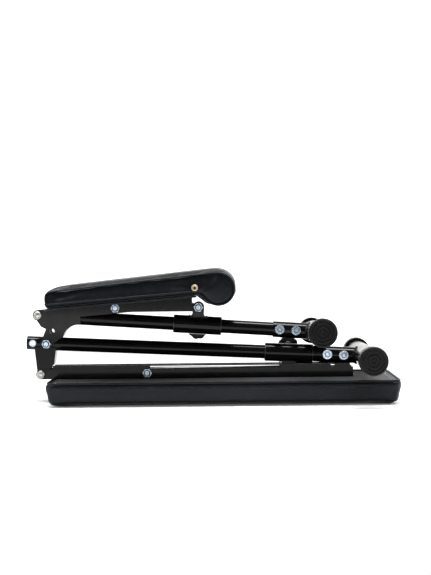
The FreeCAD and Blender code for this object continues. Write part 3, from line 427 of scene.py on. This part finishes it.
co[:, 1] += WELT_RIPPLE * ripple * np.sign(co[:, 1]) * ((abs(co[:, 1]) > 0.12) & (along < 0.34))
put_points(seat_pad, co)
rounder = seat_pad.modifiers.new("rounder", "SUBSURF")
rounder.levels = rounder.render_levels = 1
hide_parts("seat_cushion", "seat_board")


# Piping of the seat cover: a corded welt round each side panel, and two finer welts along the
# board band that go round its back end.

shapes = []
for side in (-1, 1):
    ring = seat_profile(0.0065)
    path = in_seat(ring[:, 0], np.full(len(ring), side * (SEAT_HALF - 0.001)), ring[:, 1])
    path = laid_on(path, seat_pad, 0.0007 * side * ACROSS, [1])
    shapes.append(tube_along(path, 0.0018, ACROSS))
welt_corner, welt_front = 0.008, 0.352
turn = np.radians(np.linspace(180, 270, 12))
near = np.stack([SEAT_BACK + 0.0045 + welt_corner + welt_corner * np.cos(turn),
                 -SEAT_HALF + 0.0105 + welt_corner * np.sin(turn)], -1)
far = near[::-1] * [1, -1]
flat = np.concatenate([[[welt_front, SEAT_HALF - 0.0025]], far, near, [[welt_front, -SEAT_HALF + 0.0025]]])
flat = evenly(flat, 260, closed=False)
for up, thick in ((BAND_HIGH, 0.0014), (BAND_LOW + 0.0008, 0.0021)):
    path = in_seat(flat[:, 0], flat[:, 1], np.full(len(flat), up))
    shapes.append(tube_along(path, thick, seat_up, closed=False))
add_piece("seat_piping", *gather(shapes), "seat", vinyl, "pad_vinyl")


# Dust cover under the seat board, stapled like the one on the backrest.

low, high = np.array([SEAT_BACK + 0.012, -SEAT_HALF + 0.012]), np.array([0.344, SEAT_HALF - 0.012])
loop = evenly(round_rectangle(low, high, 0.012), 140)
points, faces = thin_sheet(loop, BAND_LOW + 0.0006, BAND_LOW - 0.0004, -0.0003)
dust_cover = add_piece("seat_dust_cover", in_seat(*points.T), faces, "seat", dust_cloth, "pad_board")
points, faces = staples(evenly(round_rectangle(low + 0.006, high - 0.006, 0.01), 34), 0.0)
crowns = in_seat(points[:, 0], points[:, 1], BAND_LOW - 0.0001 - 0.7 * points[:, 2])
add_piece("seat_staples", crowns, faces, "seat", zinc, "zinc_steel")


# Welded frame: folded channels, links, gusset, bracket, round tubes, sleeves and clevises, sprayed
# and baked in thick gloss black, with the slight orange peel that such a coat has.

black_coat, tree, shader = new_finish("gloss_black_coat", (0.003, 0.003, 0.0033), 0.2)
shader.inputs["Specular IOR Level"].default_value = 0.13
shader.inputs["Coat Weight"].default_value = 0.16
shader.inputs["Coat Roughness"].default_value = 0.07
blotch(tree, shader, 22.0, (0.0012, 0.0012, 0.0013), (0.003, 0.003, 0.0033))
gloss_range(tree, shader, 45.0, 0.12, 0.21)
peel = pattern(tree, "ShaderNodeTexNoise", 330.0, Detail=2.0)
waves = pattern(tree, "ShaderNodeTexNoise", 60.0, Detail=2.0)
relief(tree, shader, [(waves.outputs["Fac"], 0.00006), (peel.outputs["Fac"], 0.00002)])


def dress(finish, *names):
    """Gives CAD nodes their finish."""
    for name in names:
        mesh = frame["nodes"][name].data
        mesh.materials.clear()
        mesh.materials.append(finish)


dress(black_coat, "backrest_channel", "backrest_inner_channel", "seat_channel", "seat_link_bar",
      "back_link_bar", "leg_gusset", "rear_leg_bracket", "rear_leg_tube", "front_leg_tube", "rear_leg_socket",
      "front_leg_socket", "rear_foot_tube", "front_foot_tube", "front_sleeve_tube", "rear_sleeve_tube",
      "front_sleeve_clevis", "rear_sleeve_clevis", "front_pin_barrel", "rear_pin_barrel")


# Weld beads: rippled fillets where a socket meets its foot tube, a clevis or pin barrel meets its
# sleeve, and the hinge bracket meets the rear tube, all under the same black coat.

def leg_axes(slope, turn=0.0):
    """Rows: along the leg, across it (turned about the leg), and square to both."""
    a, t = math.radians(slope), math.radians(turn)
    along, square = np.array([math.cos(a), 0, math.sin(a)]), np.array([-math.sin(a), 0, math.cos(a)])
    return np.stack([along, math.cos(t) * ACROSS + math.sin(t) * square,
                     math.cos(t) * square - math.sin(t) * ACROSS])


def middle_of(node):
    """The middle of a CAD node's box at rest."""
    low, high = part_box(node)
    return np.array((low + high) / 2)


def bead(path, up, thick=0.0022, pitch=0.0032, closed=True):
    """A weld bead: a tube whose radius swells once for each pool of metal."""
    length = np.linalg.norm(np.diff(path, axis=0), axis=1).sum()
    count = max(24, int(length / pitch) * 6)
    path = evenly(path, count, closed)
    pools = np.arange(count) * 2 * math.pi * round(length / pitch) / count
    radius = thick * (1 + 0.13 * np.sin(pools) + 0.05 * np.sin(pools * 0.37 + 1))
    return tube_along(path, radius, up, around=8, closed=closed)


FRONT_SLOPE, REAR_SLOPE = -3.84, -2.75
FRONT_LEG, REAR_LEG = leg_axes(FRONT_SLOPE), leg_axes(REAR_SLOPE)
FRONT_FOOT, REAR_FOOT = leg_axes(FRONT_SLOPE, -2.4), leg_axes(REAR_SLOPE, -0.8)
FOOT_RADIUS, SOCKET_RADIUS, SLEEVE_RADIUS, BARREL_RADIUS = 0.024, 0.0175, 0.020, 0.009
CLEVIS_FOOT = np.array([0.0185, 0.0114])
slides = {joint["name"]: joint["axis"] for joint in frame["joints"]}
turn = np.linspace(0, 2 * math.pi, 90, endpoint=False)
for side, axes, leg in (("front", FRONT_FOOT, FRONT_LEG), ("rear", REAR_FOOT, REAR_LEG)):
    # the socket's round end follows the foot tube: it stays one tube radius from the foot's axis
    square = SOCKET_RADIUS * np.cos(turn)
    back = -np.sqrt(FOOT_RADIUS ** 2 - square ** 2) - 0.0006
    local = np.stack([back, SOCKET_RADIUS * np.sin(turn), square], -1)
    add_piece(side + "_socket_weld", *bead(middle_of(side + "_foot_tube") + local @ axes, axes[0]),
              side + "_leg", black_coat, "black_paint")
    # the clevis foot is a rectangle laid over the sleeve, and the barrel a circle on its far side
    hang = 1 if side == "front" else -1
    loop = evenly(round_rectangle(-CLEVIS_FOOT, CLEVIS_FOOT, 0.002, 5), 120)
    local = np.column_stack([loop, hang * np.sqrt((SLEEVE_RADIUS + 0.0002) ** 2 - loop[:, 1] ** 2)])
    sleeve_middle = middle_of(side + "_sleeve_tube")
    beads = [bead(sleeve_middle + local @ leg, leg[2], thick=0.0017)]
    pull = np.array(slides[side + "_knob_pull"])
    cross = np.cross(leg[0], pull)
    circle = (BARREL_RADIUS * np.cos(turn)[:, None] * leg[0] + BARREL_RADIUS * np.sin(turn)[:, None] * cross
              + np.sqrt(SLEEVE_RADIUS ** 2 - (BARREL_RADIUS * np.sin(turn)) ** 2)[:, None] * pull)
    beads.append(bead(sleeve_middle + circle, pull, thick=0.0015))
    add_piece(side + "_sleeve_welds", *gather(beads), side + "_sleeve", black_coat, "black_paint")

bracket_low, bracket_high = (np.array(corner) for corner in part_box("rear_leg_bracket"))
beads = []
for side in (-1, 1):
    line = np.linspace(0.06, 0.94, 30)
    path = np.stack([bracket_low[0] + line * (bracket_high[0] - bracket_low[0]), np.full(30, side * 0.0143),
                     np.full(30, bracket_high[2])], -1)
    beads.append(bead(path, UP, thick=0.0014, closed=False))
add_piece("bracket_welds", *gather(beads), "rear_leg", black_coat, "black_paint")


# Foot caps: soft black rubber, moulded with fine ribs round the side for grip and rings in the
# face, pushed over the ends of each foot tube.

def turned_part(profile, centre, axis, shape=None, around=96):
    """A solid of revolution: profile rows are (radius, height along the axis). shape(height,
    angle) scales the radius, for ribs and flats."""
    axis = axis / np.linalg.norm(axis)
    first = np.cross(axis, [0.31, 0.11, 0.94])
    first /= np.linalg.norm(first)
    second = np.cross(axis, first)
    angle = np.linspace(0, 2 * math.pi, around, endpoint=False)
    radius = profile[:, :1] * (np.ones((len(profile), around)) if shape is None
                               else shape(profile[:, 1:], angle[None, :]))
    spokes = np.cos(angle)[None, :, None] * first + np.sin(angle)[None, :, None] * second
    rings = centre + profile[:, 1][:, None, None] * axis + radius[:, :, None] * spokes
    return rings.reshape(-1, 3), grid_faces(len(profile), around)


cap_rubber, tree, shader = new_finish("cap_rubber", (0.004, 0.004, 0.0046), 0.32)
shader.inputs["Specular IOR Level"].default_value = 0.17
blotch(tree, shader, 60.0, (0.0025, 0.0025, 0.003), (0.006, 0.006, 0.0068))
gloss_range(tree, shader, 90.0, 0.24, 0.4)
moulding = pattern(tree, "ShaderNodeTexNoise", 900.0, Detail=3.0)
relief(tree, shader, [(moulding.outputs["Fac"], 0.00008)])
CAP_START, CAP_LENGTH, CAP_RADIUS, CAP_BORE, CAP_FACE, CAP_EDGE = 0.180, 0.030, 0.030, 0.0241, 0.0262, 0.0038
CAP_RINGS, RING_HEIGHT, RING_WIDTH = np.array([0.0046, 0.0125, 0.0205]), 0.0016, 0.0009


def cap_ribs(height, angle):
    """Thirty scallops round the side that fade out at the mouth and at the rounded face."""
    fade = np.clip((height - 0.002) / 0.003, 0, 1) * np.clip((0.0265 - height) / 0.004, 0, 1)
    return 1 - 0.045 * fade * (0.5 - 0.5 * np.cos(30 * angle)) ** 2


radii = np.linspace(CAP_FACE, 0.0, 80)
ridges = RING_HEIGHT * np.exp(-((radii[:, None] - CAP_RINGS) / RING_WIDTH) ** 2).sum(1)
bend = np.linspace(0, math.pi / 2, 8)
cap_profile = np.concatenate([
    [[0.0, 0.0252], [CAP_BORE, 0.0252], [CAP_BORE, 0.0], [0.0285, 0.0], [0.0296, 0.0006], [CAP_RADIUS, 0.002]],
    np.column_stack([np.full(12, CAP_RADIUS), np.linspace(0.003, 0.0255, 12)]),
    np.column_stack([CAP_FACE + CAP_EDGE * np.cos(bend), CAP_FACE + CAP_EDGE * np.sin(bend)]),
    np.column_stack([radii, CAP_LENGTH - 0.0012 * np.clip((CAP_FACE - radii) / 0.0015, 0, 1) + ridges])])
for side, axes in (("front", FRONT_FOOT), ("rear", REAR_FOOT)):
    centre = middle_of(side + "_foot_tube")
    caps = [turned_part(cap_profile, centre + end * CAP_START * axes[1], end * axes[1], cap_ribs, around=180)
            for end in (-1, 1)]
    caps = add_piece(side + "_ribbed_caps", *gather(caps), side + "_leg", cap_rubber, "cap_rubber")
    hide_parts(side + "_foot_caps")


# Bolts: plated hexagon bolts with lock nuts, whose nylon collars show round the thread ends, and
# the two hinge bolts, whose round heads are brighter.

dress(zinc, "leg_pivot_bolt", "back_link_bolt", "seat_link_bolt", "front_clevis_bolt", "rear_clevis_pin",
      "rear_socket_bolts", "front_socket_bolts", "backrest_pad_screws", "seat_pad_screws", "front_lock_pin",
      "rear_lock_pin", "front_pin_spring", "rear_pin_spring", "back_link_spacers", "seat_link_spacers",
      "lock_hole_bushing")
bright, tree, shader = new_finish("bright_nickel", (0.6, 0.59, 0.57), 0.3, metallic=1.0)
blotch(tree, shader, 220.0, (0.48, 0.47, 0.45), (0.68, 0.67, 0.64))
gloss_range(tree, shader, 200.0, 0.24, 0.42)
turning = pattern(tree, "ShaderNodeTexNoise", 800.0, Detail=2.0)
relief(tree, shader, [(turning.outputs["Fac"], 0.00003)])


def hex_where(is_hex):
    """Scales a circle to a hexagon of that corner radius on the profile rows where is_hex is true."""
    def scale(height, angle):
        flats = math.cos(math.pi / 6) / np.cos((angle % (math.pi / 3)) - math.pi / 6)
        return np.where(is_hex(height), flats, 1.0)
    return scale


head_bend = np.linspace(0, math.pi / 2, 7)
HINGE_GRIP, BOLT_RADIUS, NUT_HEIGHT, BOLT_END = 0.0207, 0.005, 0.008, 0.0105
# near head: a round rim with a dished middle; far end: a hexagon nut and the thread beyond it
profile = np.concatenate([
    np.column_stack([0.0040 * np.sin(head_bend), -HINGE_GRIP - 0.0062 + 0.0008 * (1 - np.cos(head_bend))]),
    [[0.0052, -HINGE_GRIP - 0.0050], [0.0058, -HINGE_GRIP - 0.0064]],
    np.column_stack([0.0068 + 0.002 * np.sin(head_bend),
                     -HINGE_GRIP - 0.0068 + 0.0028 * (1 - np.cos(head_bend))]),
    [[0.0088, -HINGE_GRIP], [BOLT_RADIUS, -HINGE_GRIP], [BOLT_RADIUS, HINGE_GRIP], [0.0094, HINGE_GRIP],
     [0.0098, HINGE_GRIP + 0.0006], [0.0098, HINGE_GRIP + 0.0072], [0.0092, HINGE_GRIP + NUT_HEIGHT],
     [BOLT_RADIUS, HINGE_GRIP + NUT_HEIGHT], [BOLT_RADIUS, HINGE_GRIP + BOLT_END],
     [0.0, HINGE_GRIP + BOLT_END]]])
shape = hex_where(lambda height: (height > HINGE_GRIP - 1e-6) & (height < HINGE_GRIP + NUT_HEIGHT + 1e-4))
for node, pivot, body in (("backrest_hinge_bolt", "back_adjust", "backrest"),
                          ("seat_hinge_bolt", "seat_adjust", "front_leg")):
    bolt = add_piece(node + "_round_head", *turned_part(profile, pivots[pivot], ACROSS, shape, around=72), body,
                     bright, "hinge_bolt_steel")
    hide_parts(node)
    crisp = bolt.modifiers.new("crisp", "EDGE_SPLIT")
    crisp.split_angle = math.radians(35)

collar_nylon, tree, shader = new_finish("collar_nylon", (0.05, 0.09, 0.16), 0.4)
blotch(tree, shader, 200.0, (0.04, 0.07, 0.13), (0.07, 0.12, 0.2))
collar_grain = pattern(tree, "ShaderNodeTexNoise", 1200.0, Detail=2.0)
relief(tree, shader, [(collar_grain.outputs["Fac"], 0.00003)])
for name, pivot, grip, body in (("leg_pivot", "leg_fold", 0.018, "front_leg"),
                                ("back_link", "back_link_swing", 0.0205, "backrest"),
                                ("seat_link", "seat_link_swing", 0.0205, "seat"),
                                ("front_clevis", "front_clevis_swing", 0.0114, "front_sleeve")):
    face = -grip - 0.0002 - NUT_HEIGHT
    profile = np.array([[0.00505, face + 0.0004], [0.0076, face + 0.0004], [0.0074, face - 0.0009],
                        [0.0066, face - 0.0014], [0.00535, face - 0.0012], [0.00505, face - 0.0006],
                        [0.00505, face + 0.0004]])
    collar = turned_part(profile, pivots[pivot], ACROSS, around=48)
    add_piece(name + "_nut_collar", *collar, body, collar_nylon, "nylon")
WASHER, SMALL_NUT_HEIGHT, SOCKET_BOLTS_AT = 0.0016, 0.0065, (0.046, 0.0815)
for side, axes in (("front", FRONT_FOOT), ("rear", REAR_FOOT)):
    face = -SOCKET_RADIUS - WASHER - SMALL_NUT_HEIGHT
    profile = np.array([[0.00405, face + 0.0004], [0.0058, face + 0.0004], [0.0056, face - 0.0008],
                        [0.0050, face - 0.0012], [0.0043, face - 0.001], [0.00405, face - 0.0005],
                        [0.00405, face + 0.0004]])
    collars = [turned_part(profile, middle_of(side + "_foot_tube") - step * axes[0], axes[1], around=40)
               for step in SOCKET_BOLTS_AT]
    add_piece(side + "_socket_collars", *gather(collars), side + "_leg", collar_nylon, "nylon")


# Pull knobs: moulded black plastic, with a neck over the pin and eight finger flutes round the
# rim, on the far side of each sleeve.

knob_plastic, tree, shader = new_finish("knob_plastic", (0.014, 0.014, 0.016), 0.42)
blotch(tree, shader, 70.0, (0.006, 0.006, 0.007), (0.012, 0.012, 0.013))
gloss_range(tree, shader, 120.0, 0.34, 0.5)
sparked = pattern(tree, "ShaderNodeTexVoronoi", 1500.0)
relief(tree, shader, [(sparked.outputs["Distance"], 0.00007)])


def finger_flutes(height, angle):
    """Eight hollows round the rim, deepest at mid height and gone at the neck and the face."""
    depth = np.exp(-((height - 0.0085) / 0.0045) ** 4)
    return 1 - 0.075 * depth * (0.5 - 0.5 * np.cos(8 * angle)) ** 1.5


rim = np.linspace(-math.pi / 2, math.pi / 2, 14)
dome = np.linspace(0.0185, 0.0, 12)
knob_profile = np.concatenate([
    [[0.0, 0.0], [0.0088, 0.0], [0.0098, 0.001], [0.01, 0.003], [0.0115, 0.0042]],
    np.column_stack([0.0185 + 0.004 * np.cos(rim), 0.0085 + 0.0045 * np.sin(rim)]),
    np.column_stack([dome, 0.0131 + 0.0009 * (1 - (dome / 0.0185) ** 2)])])
for side in ("front", "rear"):
    pull = np.array(slides[side + "_knob_pull"])
    base = middle_of(side + "_pull_knob") - 0.007 * pull / np.linalg.norm(pull)
    knob = add_piece(side + "_fluted_knob", *turned_part(knob_profile, base, pull, finger_flutes, around=128),
                     side + "_knob", knob_plastic, "knob_plastic")
    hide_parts(side + "_pull_knob")


# Nylon guide rings and pivot bushing: black moulded nylon, smooth where they rub.

nylon, tree, shader = new_finish("guide_nylon", (0.02, 0.02, 0.021), 0.38)
blotch(tree, shader, 80.0, (0.015, 0.015, 0.016), (0.03, 0.03, 0.032))
gloss_range(tree, shader, 150.0, 0.3, 0.48)
rubbed = pattern(tree, "ShaderNodeTexNoise", 600.0, Detail=3.0)
relief(tree, shader, [(rubbed.outputs["Fac"], 0.00005)])
dress(nylon, "front_guide_rings", "rear_guide_rings", "leg_pivot_bushing")


# Vent eyelet in the side of the seat: rolled brass, dulled in its recess.

brass, tree, shader = new_finish("eyelet_brass", (0.62, 0.52, 0.33), 0.34, metallic=1.0)
blotch(tree, shader, 260.0, (0.44, 0.36, 0.22), (0.74, 0.64, 0.44))
gloss_range(tree, shader, 300.0, 0.26, 0.5)
tarnish = pattern(tree, "ShaderNodeTexNoise", 1100.0, Detail=3.0)
relief(tree, shader, [(tarnish.outputs["Fac"], 0.00005)])
dress(brass, "seat_eyelet")
bend = np.linspace(0, 2 * math.pi, 17)
lip = np.column_stack([0.0049 + 0.0020 * np.cos(bend), 0.0012 * np.sin(bend)])
lip = turned_part(lip, middle_of("seat_eyelet") - 0.0012 * ACROSS, -ACROSS, around=64)
add_piece("eyelet_rolled_lip", *lip, "seat", brass, "eyelet_brass")


# Studio: a white sweep under and behind the bench, whose far part glows like a backlit screen, one
# large soft light overhead, two tall side lights, a thin strip near the floor that draws a line
# along each tube, and a long lens at the height of a low tripod.

def white_backing(name, glow):
    """Matt white, which gives off a little warm light of its own."""
    finish, tree, shader = new_finish(name, (0.86, 0.86, 0.86), 0.9)
    blotch(tree, shader, 3.0, (0.85, 0.85, 0.85), (0.87, 0.87, 0.87))
    shader.inputs["Emission Color"].default_value = (1.0, 0.985, 0.97, 1)
    shader.inputs["Emission Strength"].default_value = glow
    return finish, tree, shader


paper, tree, shader = white_backing("white_paper", 0.1)
fibre = pattern(tree, "ShaderNodeTexNoise", 500.0, Detail=3.0)
relief(tree, shader, [(fibre.outputs["Fac"], 0.0001)])
screen, tree, shader = white_backing("backlit_screen", 0.9)
wide = np.linspace(-12.0, 12.0, 13)
curve = np.radians(np.linspace(-90, 0, 24))
bend = np.column_stack([5.0 + np.cos(curve), 1.0 + np.sin(curve)])
for name, finish, sweep in (("paper_floor", paper, np.array([[-7.0, 0.0], [0.0, 0.0], [1.6, 0.0]])),
                            ("screen_sweep", screen, np.concatenate([[[1.6, 0.0]], bend, [[6.0, 6.0]]]))):
    points = np.stack([np.column_stack([np.full(len(sweep), x), sweep]) for x in wide])
    rows, columns = points.shape[:2]
    first = (np.arange(rows - 1)[:, None] * columns + np.arange(columns - 1)[None, :]).ravel()
    quads = np.stack([first, first + columns, first + columns + 1, first + 1], -1)
    mesh = bpy.data.meshes.new(name)
    mesh.from_pydata(points.reshape(-1, 3).tolist(), [], quads.tolist())
    mesh.polygons.foreach_set("use_smooth", np.full(len(mesh.polygons), True))
    mesh.materials.append(finish)
    sheet = bpy.data.objects.new(name, mesh)
    bpy.context.scene.collection.objects.link(sheet)

world = bpy.data.worlds.new("studio_air")
world.use_nodes = True
world.node_tree.nodes["Background"].inputs["Color"].default_value = (1, 1, 1, 1)
world.node_tree.nodes["Background"].inputs["Strength"].default_value = 0.16
bpy.context.scene.world = world


def soft_light(name, place, aim, size, power):
    """A rectangular light at place that faces aim."""
    lamp = bpy.data.lights.new(name, "AREA")
    lamp.shape = "RECTANGLE"
    lamp.size, lamp.size_y = size
    lamp.energy = power
    light = bpy.data.objects.new(name, lamp)
    light.location = place
    light.rotation_euler = (Vector(aim) - Vector(place)).to_track_quat("-Z", "Y").to_euler()
    bpy.context.scene.collection.objects.link(light)


soft_light("overhead", (0.0, -0.1, 1.8), (0.0, 0.1, 0.0), (3.0, 0.5), 90.0)
soft_light("floor_strip", (0.0, -2.3, 0.06), (0.0, 0.0, 0.12), (2.6, 0.08), 2.2)
TALL, BENCH_MIDDLE = (0.3, 1.4), (0.0, 0.0, 0.1)
soft_light("left_tall", (-1.9, -0.9, 0.8), BENCH_MIDDLE, TALL, 7.0)
soft_light("right_tall", (2.0, -0.7, 0.8), BENCH_MIDDLE, TALL, 7.0)
bpy.context.scene.view_settings.view_transform = "Standard"
bpy.context.scene.view_settings.look = "None"

lens = bpy.data.cameras.new("long_lens")
lens.sensor_fit = "HORIZONTAL"
lens.sensor_width = 36.0
lens.lens = 110.7
camera = bpy.data.objects.new("long_lens", lens)
yaw, pitch, roll = math.radians(0.886), math.radians(90 - 1.362), math.radians(-0.65)
aim = Euler((0, 0, yaw)).to_matrix() @ Euler((pitch, 0, 0)).to_matrix() @ Euler((0, 0, roll)).to_matrix()
camera.matrix_world = Matrix.Translation((0.057, -2.9, 0.315)) @ aim.to_4x4()
bpy.context.scene.collection.objects.link(camera)
bpy.context.scene.camera = camera
